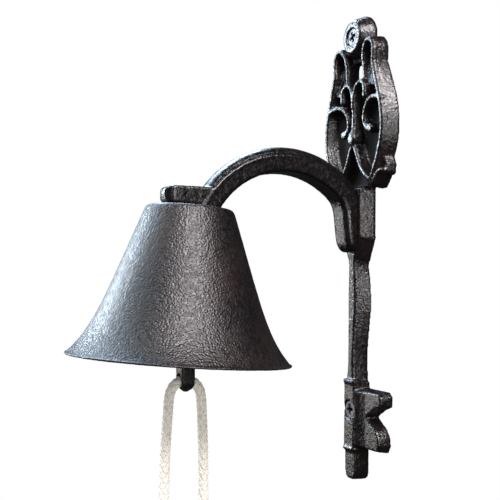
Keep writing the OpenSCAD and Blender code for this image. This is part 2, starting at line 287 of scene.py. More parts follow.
def remesh(obj, voxel):
    """Adds a modifier that rebuilds the surface on a grid of voxels."""
    grid = obj.modifiers.new("grid", "REMESH")
    grid.mode = "VOXEL"
    grid.voxel_size = voxel * MM


def add_grain(obj, depth, size):
    """Pushes the surface in and out by a lumpy pattern, for a sand-cast skin."""
    lumps = bpy.data.textures.new(obj.name + "_lumps", "CLOUDS")
    lumps.noise_scale = size * MM
    lumps.noise_depth = 2
    push = obj.modifiers.new("grain", "DISPLACE")
    push.texture = lumps
    push.texture_coords = "LOCAL"
    push.strength = depth * MM
    push.mid_level = 0.5


# ---------------------------------------------------------------- materials
# Noise scales count cycles in a metre

def new_material(name):
    mat = bpy.data.materials.new(name)
    mat.use_nodes = True
    tree = mat.node_tree
    return mat, tree, tree.nodes["Principled BSDF"]


def noise_node(tree, scale, detail):
    """Cloudy noise fixed to the object."""
    coords = tree.nodes.new("ShaderNodeTexCoord")
    node = tree.nodes.new("ShaderNodeTexNoise")
    node.inputs["Scale"].default_value = scale
    node.inputs["Detail"].default_value = detail
    tree.links.new(coords.outputs["Object"], node.inputs["Vector"])
    return node.outputs["Fac"]


def pebbles(tree, scale):
    """Height of small rounded domes that meet in soft valleys."""
    coords = tree.nodes.new("ShaderNodeTexCoord")
    node = tree.nodes.new("ShaderNodeTexVoronoi")
    node.feature = "SMOOTH_F1"
    node.inputs["Scale"].default_value = scale
    node.inputs["Smoothness"].default_value = 0.5
    tree.links.new(coords.outputs["Object"], node.inputs["Vector"])
    return node.outputs["Distance"]


def ramp(tree, fac, stops):
    node = tree.nodes.new("ShaderNodeValToRGB")
    while len(node.color_ramp.elements) < len(stops):
        node.color_ramp.elements.new(0.5)
    for element, (at, colour) in zip(node.color_ramp.elements, stops):
        element.position = at
        element.color = (*colour, 1)
    tree.links.new(fac, node.inputs["Fac"])
    return node.outputs["Color"]


def grey(v):
    return (v, v, v)


def bump(tree, height, distance, strength, under=None):
    node = tree.nodes.new("ShaderNodeBump")
    node.inputs["Distance"].default_value = distance
    node.inputs["Strength"].default_value = strength
    tree.links.new(height, node.inputs["Height"])
    if under:
        tree.links.new(under, node.inputs["Normal"])
    return node.outputs["Normal"]


def painted_iron(name, peel_mm, peel_depth, rough, warm, dull_below=None):
    """Black paint on sand-cast iron: a pebbled skin whose domes are peel_mm wide and peel_depth high, and
    a warm cast where the paint is thin. Faces nearer to the wall than dull_below millimetres are dull."""
    mat, tree, shader = new_material(name)
    colour = ramp(tree, noise_node(tree, 35, 4), [(0.35, (0.003, 0.0025, 0.003)), (0.7, warm)])
    tree.links.new(colour, shader.inputs["Base Color"])
    gloss = ramp(tree, noise_node(tree, 420, 3), [(0.32, grey(rough - 0.1)), (0.68, grey(rough + 0.12))])
    if dull_below:
        gloss = duller_near_wall(tree, gloss, dull_below)
    tree.links.new(gloss, shader.inputs["Roughness"])
    shader.inputs["Specular IOR Level"].default_value = 0.55
    peel = bump(tree, pebbles(tree, 1000 / peel_mm), -peel_depth * MM, 1.0)
    fine = bump(tree, noise_node(tree, 2600, 2), 0.08 * MM, 0.8, peel)
    tree.links.new(fine, shader.inputs["Normal"])
    return mat


def duller_near_wall(tree, gloss, depth):
    """Roughness that goes up to matt where a surface faces the room between depth and the wall plane."""
    coords = tree.nodes.new("ShaderNodeTexCoord")
    both = tree.nodes.new("ShaderNodeMath")
    both.operation = "MULTIPLY"
    limits = (("Object", -(depth + 1) * MM, -depth * MM), ("Normal", -0.6, -0.9))
    for i, (output, low, high) in enumerate(limits):
        split = tree.nodes.new("ShaderNodeSeparateXYZ")
        share = tree.nodes.new("ShaderNodeMapRange")
        share.inputs["From Min"].default_value = low
        share.inputs["From Max"].default_value = high
        tree.links.new(coords.outputs[output], split.inputs[0])
        tree.links.new(split.outputs["Y"], share.inputs["Value"])
        tree.links.new(share.outputs[0], both.inputs[i])
    mix = tree.nodes.new("ShaderNodeMix")
    mix.data_type = "RGBA"
    mix.inputs["B"].default_value = (1, 1, 1, 1)
    tree.links.new(both.outputs[0], mix.inputs["Factor"])
    tree.links.new(gloss, mix.inputs["A"])
    return mix.outputs["Result"]


def steel(name, colour, rough, scratch):
    """Machined steel with a faint brushed or oily variation."""
    mat, tree, shader = new_material(name)
    tint = ramp(tree, noise_node(tree, 120, 3), [(0.3, tuple(0.7 * c for c in colour)), (0.7, colour)])
    tree.links.new(tint, shader.inputs["Base Color"])
    shader.inputs["Metallic"].default_value = 1.0
    gloss = ramp(tree, noise_node(tree, 500, 3), [(0.3, grey(rough - 0.08)), (0.7, grey(rough + 0.1))])
    tree.links.new(gloss, shader.inputs["Roughness"])
    tree.links.new(bump(tree, noise_node(tree, 1500, 3), scratch * MM, 0.5), shader.inputs["Normal"])
    return mat


def rubber(name):
    mat, tree, shader = new_material(name)
    tint = ramp(tree, noise_node(tree, 300, 3), [(0.3, grey(0.012)), (0.7, grey(0.03))])
    tree.links.new(tint, shader.inputs["Base Color"])
    shader.inputs["Roughness"].default_value = 0.75
    tree.links.new(bump(tree, noise_node(tree, 2000, 2), 0.05 * MM, 0.5), shader.inputs["Normal"])
    return mat


def cotton(name):
    """Natural white cotton yarn: soft, a little uneven in colour, with fine fibres."""
    mat, tree, shader = new_material(name)
    tint = ramp(tree, noise_node(tree, 420, 4), [(0.3, (0.72, 0.68, 0.58)), (0.5, (0.80, 0.77, 0.69)),
                                                 (0.7, (0.85, 0.83, 0.77))])
    tree.links.new(tint, shader.inputs["Base Color"])
    shader.inputs["Roughness"].default_value = 0.85
    shader.inputs["Sheen Weight"].default_value = 0.4
    shader.inputs["Sheen Roughness"].default_value = 0.4
    shader.inputs["Subsurface Weight"].default_value = 0.15
    shader.inputs["Subsurface Radius"].default_value = (0.6 * MM, 0.5 * MM, 0.4 * MM)
    tree.links.new(bump(tree, noise_node(tree, 2600, 2), 0.08 * MM, 0.5), shader.inputs["Normal"])
    return mat


# ---------------------------------------------------------------- pull cord

# Route of the front half of the cord in metres, as (distance in front of the hole, height above it)
ROUTE = [(0, 0.0004), (0.0021, 0.0002), (0.0041, -0.0006), (0.0058, -0.002), (0.0071, -0.0038),
         (0.0079, -0.006), (0.0083, -0.0084), (0.0086, -0.012), (0.0089, -0.017), (0.0093, -0.024),
         (0.0097, -0.033), (0.010, -0.045), (0.0102, -0.058), (0.0102, -0.072), (0.0099, -0.088),
         (0.0092, -0.104), (0.0081, -0.119), (0.0066, -0.133), (0.005, -0.145), (0.0037, -0.155),
         (0.0028, -0.164), (0.0024, -0.172)]
CORD_STEP = 0.7
PLAIT_PITCH = 20.0
# The yarns bulge a little past the nominal diameter
PLAIT_R = 2.62


def carried_frames(line):
    """Two cross directions at each point of a line, carried on without twist."""
    ways = headings(line)
    across = Vector((1, 0, 0))
    if abs(ways[0].dot(across)) > 0.9:
        across = Vector((0, 0, 1))
    frames = []
    for way in ways:
        across = (across - way * across.dot(way)).normalized()
        frames.append((across, way.cross(across)))
    return frames


def plait(bm, line, radius):
    """Eight-strand plait of doubled yarns along a line: four strands turn each way, over and under."""
    frames = carried_frames(line)
    along = [0.0]
    for a, b in zip(line, line[1:]):
        along.append(along[-1] + (b - a).length)
    thick, wide, weave = 0.22 * radius, 0.33 * radius, 0.12 * radius
    middle = radius - thick - weave
    lift = math.cos(math.atan(2 * math.pi * middle / PLAIT_PITCH))
    spread = wide * 0.94 / (middle * lift)
    for way, strand, side in product((1, -1), range(4), (-1, 1)):
        start = math.pi / 2 * strand + side * spread
        centre = []
        for p, s, (u, v) in zip(line, along, frames):
            turn = 2 * math.pi * s / PLAIT_PITCH
            a = way * turn + start
            out = u * math.cos(a) + v * math.sin(a)
            centre.append((p + out * (middle + way * weave * math.cos(4 * turn)), out))
        yarn(bm, centre, wide, thick)
    core = middle - 0.3 * thick
    skin(bm, [[p + (u * math.cos(t) + v * math.sin(t)) * core for t in angles(8)]
              for p, (u, v) in zip(line, frames)])


def yarn(bm, centre, wide, thick):
    """A flattened yarn along a list of (point, outward direction), with its half width and half thickness."""
    rings = []
    for (c, out), way in zip(centre, headings([c for c, _ in centre])):
        side = way.cross(out).normalized()
        rings.append([c + side * (wide * math.cos(t)) + out * (thick * math.sin(t)) for t in angles(6)])
    skin(bm, rings)


def make_cord(material):
    """Both halves of the cord from the clapper's hole to the knot."""
    hole = JOINT["cord_swing"]
    knot = make_knot(material)
    for name, side in (("cord_front", -1), ("cord_back", 1)):
        line = smooth_line([hole + Vector((0, side * a, b)) / MM for a, b in ROUTE], CORD_STEP)
        bm = bmesh.new()
        plait(bm, line, PLAIT_R)
        half = piece(name + "_braid", bm, material, "cord", name)


def make_knot(material):
    """Overhand knot that joins both halves, with the two short ends below it."""
    lo, hi = box_mm("cord_knot")
    middle, top = (lo.y + hi.y) / 2, hi.z
    bm = bmesh.new()
    for side in (-1, 1):
        y = middle + side * 2.4
        turn = [(0, y, top + 1), (side * 0.6, y + side * 0.6, top - 2.5),
                (side * 3.4, y + side * 1.2, top - 5.4), (side * 3.6, middle - side * 2.6, top - 8.6),
                (-side * 1.4, middle - side * 4.6, top - 10.4), (-side * 4.4, middle + side * 0.6, top - 9.2),
                (-side * 2.0, middle + side * 4.2, top - 6.6), (side * 1.2, middle + side * 2.6, top - 11.0),
                (0, y, top - 16), (0, y + side * 0.4, top - 22), (0, y + side * 0.8, lo.z + 0.4)]
        plait(bm, smooth_line(turn, CORD_STEP), 0.92 * PLAIT_R)
    return piece("cord_knot_tied", bm, material, "cord", "cord_knot")


# ---------------------------------------------------------------- key plate

# Radius of the front edges of the scrolls
EDGE_R = 0.8


def rib(bm, path, front, back, depth, ends=True):
    """A bar with draft that stands on the wall plane along a path of (x, z), with round ends if wanted.
    front and back are its half widths. Each of front, back and depth is a number or one per path point."""
    n, step = len(path), 1.4
    front, back, depth = ([v] * n if isinstance(v, (int, float)) else v for v in (front, back, depth))
    line = smooth_line([(x, z, 0) for x, z in path], step)
    sizes = [Vector(v) for v in zip(front, back, depth)]
    share = smooth_share(path, line)
    ways = headings(line)
    rings = []
    for p, way, s in zip(line, ways, share):
        i = min(int(s), n - 2)
        f, b, d = sizes[i].lerp(sizes[i + 1], s - i)
        side = Vector((-way.y, way.x))
        r = min(EDGE_R, 0.5 * f)
        half = [(b, 0), (f + 0.1 * (b - f), d * 0.8), (f, d - r), (f - 0.3 * r, d - 0.3 * r), (f - r, d)]
        section = [(-w, h) for w, h in half] + [(w, h) for w, h in half[::-1]]
        rings.append([Vector((p.x + side.x * w, -h, p.y + side.y * w)) for w, h in section])
    skin(bm, rings)
    for i in (0, n - 1) if ends else ():
        stud(bm, path[i], front[i], back[i], depth[i])


def smooth_share(path, line):
    """Where each point of a smooth line lies on its path, counted in path points."""
    share, i = [], 0
    for p in line:
        while i < len(path) - 2 and (Vector(path[i + 1]) - Vector((p.x, p.y))).length < 1e-6:
            i += 1
        a, b = Vector(path[i]), Vector(path[i + 1])
        t = max(0.0, min(1.0, (Vector((p.x, p.y)) - a).dot(b - a) / (b - a).length_squared))
        share.append(i + t)
    return share


def stud(bm, centre, front, back, depth):
    """A round boss with draft."""
    r = min(EDGE_R, 0.5 * front)
    place = Matrix.Translation((centre[0], 0, centre[1])) @ Matrix.Rotation(math.pi / 2, 4, "X")
    lathe(bm, [(0, 0), (back, 0), (front, depth - r), (front - 0.3 * r, depth - 0.3 * r), (front - r, depth),
               (0, depth)], place, 24)


def block(bm, outline, depth, draft):
    """An outline of (x, z) that stands depth off the wall plane, and widens by draft towards its back.
    depth is a number or one for each point."""
    n = len(outline)
    depth = [depth] * n if isinstance(depth, (int, float)) else depth
    pts = [Vector(p) for p in outline]
    area = sum(pts[i].x * pts[(i + 1) % n].y - pts[(i + 1) % n].x * pts[i].y for i in range(n))
    turn = 1 if area > 0 else -1
    wide = []
    for i in range(n):
        a, b = (pts[i] - pts[i - 1]).normalized(), (pts[(i + 1) % n] - pts[i]).normalized()
        out = Vector((a.y + b.y, -a.x - b.x)) * turn
        out.normalize()
        edge = Vector((a.y, -a.x)) * turn
        wide.append(pts[i] + out * (draft / max(0.5, out.dot(edge))))
    skin(bm, [[Vector((p.x, 0, p.y)) for p in wide],
              [Vector((p.x, -d, p.y)) for p, d in zip(pts, depth)]])


def mirrored(path, side):
    """A path as it is for side 1, and turned over left to right for side -1."""
    return [(side * x, z) for x, z in path]


BAND = [(19.4, 81.5), (20.6, 78.5), (22.2, 73), (24.6, 66), (26.8, 59), (28, 51), (27.8, 44), (26.2, 37.5),
        (23.6, 31), (20.6, 25.6), (18.2, 21)]
BAND_BACK = [2.6, 2.8, 3.6, 4.1, 4.2, 4.2, 4.2, 4.0, 3.6, 3.0, 2.6]
EAR = [(8.8, 76.6), (8.5, 84.5), (9.0, 90.2), (12, 94.3), (15.4, 95.4), (18.6, 93), (19.8, 88.6),
       (19.2, 83.4)]
EAR_DEPTH = [7.2, 7.8, 8.6, 9.2, 9.2, 9.2, 9.2, 9.2]
EAR_BACK = [1.5, 2.0, 2.3, 2.3, 2.3, 2.3, 2.3, 2.3]
HOOK = [(0, 62), (0.7, 67.6), (2.8, 72.6), (6.8, 74.6), (10.4, 73), (11.5, 69.6), (11.3, 66.4)]
HOOK_HALF = [1.3, 1.2, 1.1, 1.1, 1.3, 1.5, 1.7]
J_SCROLL = [(26.6, 61.8), (23.4, 63.3), (18.6, 64.2), (13.6, 63.2), (9.8, 60.2), (7.9, 56), (8.2, 52),
            (10.6, 49.6), (13.6, 48.8)]
J_HALF = [1.5, 1.3, 1.2, 1.2, 1.2, 1.2, 1.4, 1.9, 2.4]
J_DEPTH = [9.2, 9.2, 9.0, 8.2, 7.6, 7.2, 6.9, 6.8, 6.8]
SPEAR = [(0.8, 41), (2.6, 38.4), (4.4, 34.8), (6.6, 30.4), (10.6, 25.6), (15, 22), (19.6, 18.8)]
SPUR = [(16.5, 19), (19.8, 18.6), (22.4, 21.6), (24.8, 24.4), (27.2, 24.8)]
SPUR_FOOT = [(12, 18.6), (19.6, 18.8), (23.4, 22.2), (28.2, 24.2), (29, 28), (27.4, 31), (22.6, 30), (14, 26)]
# Painted shade: a thin dark web behind the scrollwork, where the real bow is open, stands in for the shade
# seen through its openings
PAINTED_SHADE_WEB = [(-19, 18), (19, 18), (25, 28), (28, 42), (28, 54), (24, 68), (20, 71), (-20, 71), (-24, 68),
          (-28, 54), (-28, 42), (-25, 28)]
CHEEK = [(9, 92), (18.4, 92), (18, 82.4), (20.6, 77), (22.8, 71), (17, 70.6), (12, 72), (9, 77)]
CHEEK_DEPTH = [2.0, 2.0, 4.4, 6.6, 7.6, 6.8, 6.2, 5.0]
COLLAR = [(-8.2, 17.4), (8.2, 17.4), (8.4, -8.5), (6.4, -12.8), (3.6, -19), (-3.6, -19), (-6.4, -12.8),
          (-8.4, -8.5)]
BIT = [(0, -89.4), (24.6, -89.4), (26.4, -91.2), (26.4, -95.2), (22, -96.8), (14, -101.4), (13.6, -102.8),
       (16, -104.8), (21.4, -108), (24.4, -111.6), (25, -115.2), (23.4, -118.6), (0, -118.8)]
# Stem: height, half width in front, half width at the wall, and depth
STEM = [(-13, 4.4, 7.5, 8.9), (-19.5, 3.4, 4.9, 8.8), (-24, 2.9, 4.1, 8.7), (-31, 3.3, 5.7, 8.6),
        (-40, 3.6, 6.7, 8.5), (-48, 3.5, 6.5, 8.5), (-57, 3.0, 5.1, 8.8), (-67, 2.5, 3.7, 9.0),
        (-78, 2.6, 3.6, 9.2), (-88, 3.6, 4.6, 9.4)]
# Heights of the wall screws and the arm screws above and below the middle
SCREW_Z = 100.0
ARM_SCREW_Z = 7.0
HEAD_R, HEAD_H, HEAD_SUNK = 4.6, 2.6, 0.9
BOSS_DEPTH = 9.8
# How far a cutter reaches past the surface it opens
PAST = 2


def screw_hole(bm, place, depth, wide, bore):
    """What a countersunk hole takes away: a bore, a cone and a wide recess, along place's Z axis."""
    face = depth - HEAD_SUNK
    lathe(bm, [(0, -PAST), (bore, -PAST), (bore, face - HEAD_H), (HEAD_R + 0.15, face), (wide, face + 0.1),
               (wide, depth + 3), (0, depth + 3)], place)


def towards_room(z, y=0.0):
    """A place at height z whose own Z axis points away from the wall."""
    return Matrix.Translation((0, y, z)) @ Matrix.Rotation(math.pi / 2, 4, "X")


def screw_boss(bm, radius):
    """The round boss at the top of the plate, which narrows towards its front."""
    front = 8.6
    lathe(bm, [(0, 0), (radius - 0.7, 0), (radius, 1.4), (radius - 0.3, 3), (front + 0.5, BOSS_DEPTH - 1),
               (front, BOSS_DEPTH - 0.2), (front - 0.5, BOSS_DEPTH), (0, BOSS_DEPTH)],
          towards_room(SCREW_Z), 64)


def make_key_plate(material):
    lo, hi = box_mm("key_plate")
    bm = bmesh.new()
    screw_boss(bm, hi.z - SCREW_Z)
    block(bm, [(-8, 87), (8, 87), (7, 93.5), (-7, 93.5)], depth=3.6, draft=1.0)
    # Painted shade: this web fills the bow's openings with dark iron in place of the shade behind them
    block(bm, PAINTED_SHADE_WEB, depth=2.2, draft=0.3)
    for side in (-1, 1):
        rib(bm, mirrored(BAND, side), front=1.5, back=BAND_BACK, depth=9.2)
        rib(bm, mirrored(EAR, side), front=1.3, back=EAR_BACK, depth=EAR_DEPTH)
        rib(bm, mirrored(HOOK, side), front=HOOK_HALF, back=2.3, depth=9.2)
        rib(bm, mirrored(J_SCROLL, side), front=J_HALF, back=2.6, depth=J_DEPTH)
        rib(bm, mirrored(SPEAR, side), front=1.2, back=2.4, depth=9.0)
        rib(bm, mirrored(SPUR, side), front=1.2, back=2.4, depth=9.0)
        block(bm, mirrored(SPUR_FOOT, side), depth=5.4, draft=0.9)
        block(bm, mirrored(CHEEK, side), depth=CHEEK_DEPTH, draft=0.8)
    rib(bm, [(0, 66), (0, 58), (0, 50)], [1.3, 1.3, 1.6], [2.2, 2.2, 2.6], [9.0, 8.6, 8.8])
    rib(bm, [(0, 49), (0, 47), (0, 44.5)], [1.8, 2.8, 3.4], [2.8, 3.9, 4.4], [9.2, 10, 10.2])
    block(bm, COLLAR, depth=9.15, draft=2.4)
    rib(bm, [(0, z) for z, _, _, _ in STEM], [f for _, f, _, _ in STEM], [b for _, _, b, _ in STEM],
        [d for _, _, _, d in STEM], ends=False)
    block(bm, BIT, depth=7.2, draft=1.0)
    make_barrel(bm, lo.z)
    plate = piece("key_plate_casting", bm, material, "bracket", "key_plate")
    holes = bmesh.new()
    for z in (SCREW_Z, -SCREW_Z):
        screw_hole(holes, towards_room(z), BOSS_DEPTH, wide=5.0, bore=2.95)
    for z in (ARM_SCREW_Z, -ARM_SCREW_Z):
        lathe(holes, [(0, -PAST), (4.8, -PAST), (4.8, 0.3), (2.75, 0.3 + HEAD_H), (2.75, BOSS_DEPTH + PAST),
                      (0, BOSS_DEPTH + PAST)], towards_room(z))
    melt(plate, voxel=0.54, rounds=4, grain=0.28, grain_size=2.0, cutter=holes)


def make_barrel(bm, low):
    """Barrel of the key, which runs out into the bit, with a thin raised band at each end, and its tip."""
    top, bottom = -85.0, -120.5
    body = [(-5.8, 0), (-5.6, 8), (-5.2, 9.4), (-4.2, BOSS_DEPTH), (4.2, BOSS_DEPTH), (5.2, 9.2), (5.8, 0)]
    run_out = [(3, 0), (3, BOSS_DEPTH - 0.1), (5.6, 9.4), (8.6, 8.2), (13, 7.1), (13, 0)]
    band = [(-5.9, 6), (-5.7, 9.4), (-4.6, 10.5), (4, 10.5), (5.6, 9.8), (6, 6)]
    extrude_up(bm, body, top, bottom)
    extrude_up(bm, run_out, top - 4.8, bottom + 2.2)
    for z in (top, bottom):
        extrude_up(bm, band, z + 0.8, z - 0.8)
    tip = [(4.9, bottom + 1), (4.9, low + 4.6), (4.0, low + 2), (1.9, low + 0.5)]
    block(bm, tip + mirrored(tip, -1)[::-1], depth=8.8, draft=0.4)


def extrude_up(bm, section, top, bottom):
    """A section of (x, depth) that runs from one height to another."""
    skin(bm, [[Vector((x, -depth, z)) for x, depth in section] for z in (top, bottom)])


# ---------------------------------------------------------------- arm

ARM_HALF = 7.5
PLATE_DEPTH = 9.2
PAD_TOP = 13.2
# Circles in the side view, as (centre y, centre z, radius): underside, upper edge of the sides, and crown
UNDERSIDE = (-50.0, -20.4, 43.8)
SIDE_EDGE = (-50.9, -18.9, 50.8)
CROWN = (-48.9, -19.1, 55.8)


def reach(circle, origin, way):
    """How far it is from the origin to a circle, going one way."""
    centre = Vector(circle[:2]) - origin
    along = centre.dot(way)
    return along + math.sqrt(along * along + circle[2] ** 2 - centre.length_squared)


def arch(bm, start, end, steps):
    """Flat-sided bar with a thin bead and a groove under its domed crown, bent along the arch. It runs
    from one angle in degrees to another, where 0 points to the wall and 90 up."""
    origin = Vector(UNDERSIDE[:2])
    dome_half = 6.3
    dome = [dome_half * math.cos(math.pi * k / 12) for k in range(1, 12)]
    rings = []
    for k in range(steps + 1):
        a = math.radians(start + (end - start) * k / steps)
        way = Vector((math.cos(a), math.sin(a)))
        inner, edge, top = (reach(c, origin, way) for c in (UNDERSIDE, SIDE_EDGE, CROWN))
        right = [(ARM_HALF - 1.2, inner), (ARM_HALF - 0.2, inner + 1.0), (ARM_HALF - 0.1, edge - 1.6),
                 (ARM_HALF + 0.2, edge - 0.9), (ARM_HALF + 0.1, edge - 0.1), (ARM_HALF - 0.5, edge + 0.25),
                 (dome_half, edge - 0.25)]
        crown = [(x, edge - 0.2 + (top - edge + 0.2) * math.sqrt(1 - (x / dome_half) ** 2)) for x in dome]
        section = right + crown + [(-x, r) for x, r in right[::-1]]
        rings.append([Vector((x, origin.x + way.x * r, origin.y + way.y * r)) for x, r in section])
    skin(bm, rings)


def foot(bm, low):
    """The arm's foot on the collar, with rounded front edges and a rounded lower end."""
    # Height, y of the front face, and how far each side is drawn in
    levels = [(13, -21.4, 0), (10, -19.2, 0), (7, -17.9, 0), (4, -17.1, 0), (0, -16.7, 0), (-4.4, -16.2, 0),
              (-9, -15.6, 0), (-12.4, -14.9, 0.2), (-14.8, -13.8, 0.8), (-16.4, -12.4, 1.8),
              (low, -10.4, 3.4)]
    corner, back = 3.6, -6
    rings = []
    for z, front, inset in levels:
        half = ARM_HALF - inset
        bend = [(half - corner + corner * math.cos(a), front + corner - corner * math.sin(a))
                for a in (math.pi / 2 * k / 6 for k in range(7))]
        side = [(half, back)] + bend
        rings.append([Vector((x, y, z)) for x, y in side + [(-x, y) for x, y in side[::-1]]])
    skin(bm, rings)


def pad_low(y):
    """Height of the pad's leaning underside."""
    bell_axis_y, spacer_top, lean = -100.8, 4.0, math.tan(math.radians(3.5))
    return spacer_top - (y - bell_axis_y) * lean


def pad(bm, nose):
    """The flat-topped pad over the bell, rounded towards its nose."""
    # y and how far each side is drawn in
    levels = [(nose, 5.2), (nose + 0.3, 3.6), (nose + 1.1, 2.0), (nose + 2.2, 1.0), (nose + 4.2, 0.2),
              (-87, 0)]
    bevel = 0.8
    rings = []
    for y, inset in levels:
        half = ARM_HALF - 0.1 - inset
        low, top = pad_low(y) + 0.36 * inset, PAD_TOP - 0.42 * inset
        right = [(half - bevel, low), (half, low + 0.9), (half, top - bevel), (half - bevel, top)]
        rings.append([Vector((x, y, z)) for x, z in right + mirrored(right, -1)[::-1]])
    skin(bm, rings)


def make_arm(material):
    lo, _ = box_mm("bracket_arm")
    bm = bmesh.new()
    arch(bm, start=-14, end=153, steps=96)
    foot(bm, lo.z)
    pad(bm, lo.y)
    arm = piece("bracket_arm_casting", bm, material, "bracket", "bracket_arm")
    holes = bmesh.new()
    # Takes away all that lies behind the plate's front face
    block_size = 80
    bmesh.ops.create_cube(holes, size=block_size,
                          matrix=Matrix.Translation((0, block_size / 2 - PLATE_DEPTH, 0)))
    bolt_hole_r, bolt_hole_end = 3.15, 7.6
    lathe(holes, [(0, -1), (bolt_hole_r, -1), (bolt_hole_r, bolt_hole_end), (0, bolt_hole_end)],
          bell_place(-1.2), 32)
    melt(arm, voxel=0.5, rounds=4, grain=0.22, grain_size=2.2, cutter=holes)


# ---------------------------------------------------------------- bell

def bell_place(drop=0.0):
    """A place below the bell's crown on its leaning axis. Its own Z axis points up."""
    lean, crown = math.radians(-3.5), Vector((0, -100.8, 2.8))
    return Matrix.Translation(crown) @ Matrix.Rotation(lean, 4, "X") @ Matrix.Translation((0, 0, -drop))


def bell_radius(s):
    """Outer radius of the bell at a share s of its height."""
    crown_r, mouth_r = 21.6, 55.0
    return crown_r + (mouth_r - crown_r) * (0.79 * s + 0.21 * s ** 7)


def make_bell(material):
    height, wall, crown_t = 74.0, 3.0, 3.6
    rows_out, rows_in, sides = 118, 34, 440
    bolt_hole, lip = 3.4, bell_radius(1)
    crown = [(bolt_hole, -crown_t), (bolt_hole, 0), (8, 0), (13, 0), (17, 0), (19.6, 0), (20.6, -0.1),
             (21.3, -0.45), (21.8, -1.1)]
    outside = [(bell_radius(k / rows_out), -height * k / rows_out) for k in range(3, rows_out)]
    mouth = [(lip - 0.1, 0.7), (lip, 0.2), (lip - 0.4, -0.2), (lip - 1.4, -0.1), (lip - wall + 0.5, 0.5),
             (lip - wall - 0.2, 1.2)]
    inside = [(bell_radius(k / rows_in) - wall, -height * k / rows_in) for k in range(rows_in - 1, 3, -1)]
    roof = [(17, -crown_t - 1.4), (12, -crown_t), (8.5, -crown_t)]
    bm = bmesh.new()
    lathe(bm, crown + outside + [(r, z - height) for r, z in mouth] + inside + roof, bell_place(), sides,
          loop=True)
    bell = piece("bell_casting", bm, material, "bracket", "bell")
    add_grain(bell, depth=0.22, size=2.2)
    keep_shape(bell)
    bell.data.shade_smooth()


# ---------------------------------------------------------------- clapper and hardware

def torus(bm, place, ring_r, wire, stretch=0.0, sides=16):
    """A wire ring in the XZ plane of place. Its two halves are moved apart along Z by stretch."""
    turns = 64
    rings = []
    for k in range(turns):
        a = 2 * math.pi * (k + 0.5) / turns
        out = Vector((math.cos(a), 0, math.sin(a)))
        centre = out * ring_r + Vector((0, 0, math.copysign(stretch / 2, out.z)))
        rings.append([place @ (centre + (out * math.cos(t) + Vector((0, 1, 0)) * math.sin(t)) * wire)
                      for t in angles(sides)])
    skin(bm, rings, loop=True)


def threaded(bm, place, radius, pitch, start, end, taper=0.0):
    """A screw thread from start to end along place's Z axis, which may run out in a point of length taper."""
    sides, rows_in_pitch, depth = 28, 7, 0.3 * pitch
    steps = max(8, round((end - start) / pitch * rows_in_pitch))
    rings = []
    for k in range(steps + 1):
        z = start + (end - start) * k / steps
        share = min(1.0, max(0.04, (end - z) / taper)) if taper else 1.0
        ring = []
        for j, a in enumerate(angles(sides)):
            turn = (z / pitch - j / sides) % 1.0
            crest = 1 - abs(2 * turn - 1)
            r = share * (radius - depth * (1 - min(1.0, 1.6 * crest)))
            ring.append(place @ Vector((r * math.cos(a), r * math.sin(a), z)))
        rings.append(ring)
    skin(bm, rings)


def cross_recess(x, y, long, wide, deep):
    """Depth of a cross-shaped driver recess at a point of a screw's face."""
    def arm(u, v):
        ends = min(1.0, max(0.0, (long - abs(u)) / (0.45 * long)))
        sides = min(1.0, max(0.0, (wide - abs(v)) / (0.3 * wide)))
        return ends * sides
    return deep * max(arm(x, y), arm(y, x))


def screw_head(bm, place, neck):
    """Countersunk head with a driver recess. Its face looks along place's Z axis, at height 0."""
    sides, rows = 96, 30
    profile = [(neck, -HEAD_H - 0.4), (neck, -HEAD_H), (HEAD_R - 0.1, -0.35), (HEAD_R, -0.2),
               (HEAD_R - 0.05, -0.06)]
    rings = [ring_at(place, r, z, sides) for r, z in profile]
    for k in range(rows, 0, -1):
        r = (HEAD_R - 0.12) * k / rows
        ring = []
        for a in angles(sides):
            x, y = r * math.cos(a), r * math.sin(a)
            deep = cross_recess(x, y, long=0.64 * HEAD_R, wide=0.85, deep=1.9)
            ring.append(place @ Vector((x, y, -deep)))
        rings.append(ring)
    skin(bm, rings)


def make_screws(black, zinc):
    """Wood screws in the wall, and machine screws that hold the arm from behind."""
    half_turn = Matrix.Rotation(math.pi, 4, "X")
    thread_r = 2.5
    bm = bmesh.new()
    face = BOSS_DEPTH - HEAD_SUNK
    length = face + box_mm("wall_screws")[1].y
    shank_r, shank_end = 2.15, 12
    for z, turn in ((SCREW_Z, 0.35), (-SCREW_Z, 0.1)):
        place = towards_room(z) @ Matrix.Translation((0, 0, face)) @ Matrix.Rotation(turn, 4, "Z")
        screw_head(bm, place, neck=2.2)
        lathe(bm, [(0, -shank_end), (shank_r, -shank_end), (shank_r, -HEAD_H), (0, -HEAD_H)], place, 28)
        threaded(bm, place @ half_turn, thread_r, pitch=2.2, start=10, end=length, taper=6.5)
    piece("wall_screws_cut", bm, black, "bracket", "wall_screws")
    bm = bmesh.new()
    lo, hi = box_mm("arm_screws")
    for z, turn in ((ARM_SCREW_Z, 0.6), (-ARM_SCREW_Z, 0.2)):
        place = towards_room(z, hi.y) @ half_turn @ Matrix.Rotation(turn, 4, "Z")
        screw_head(bm, place, neck=2.4)
        threaded(bm, place @ half_turn, thread_r, pitch=0.8, start=HEAD_H, end=hi.y - lo.y)
    piece("arm_screws_cut", bm, zinc, "bracket", "arm_screws")


# Depth of the bolt's eye below the top of the bell, and the radius of both eyes
EYE_DROP = 17.2
EYE_R = 4.8


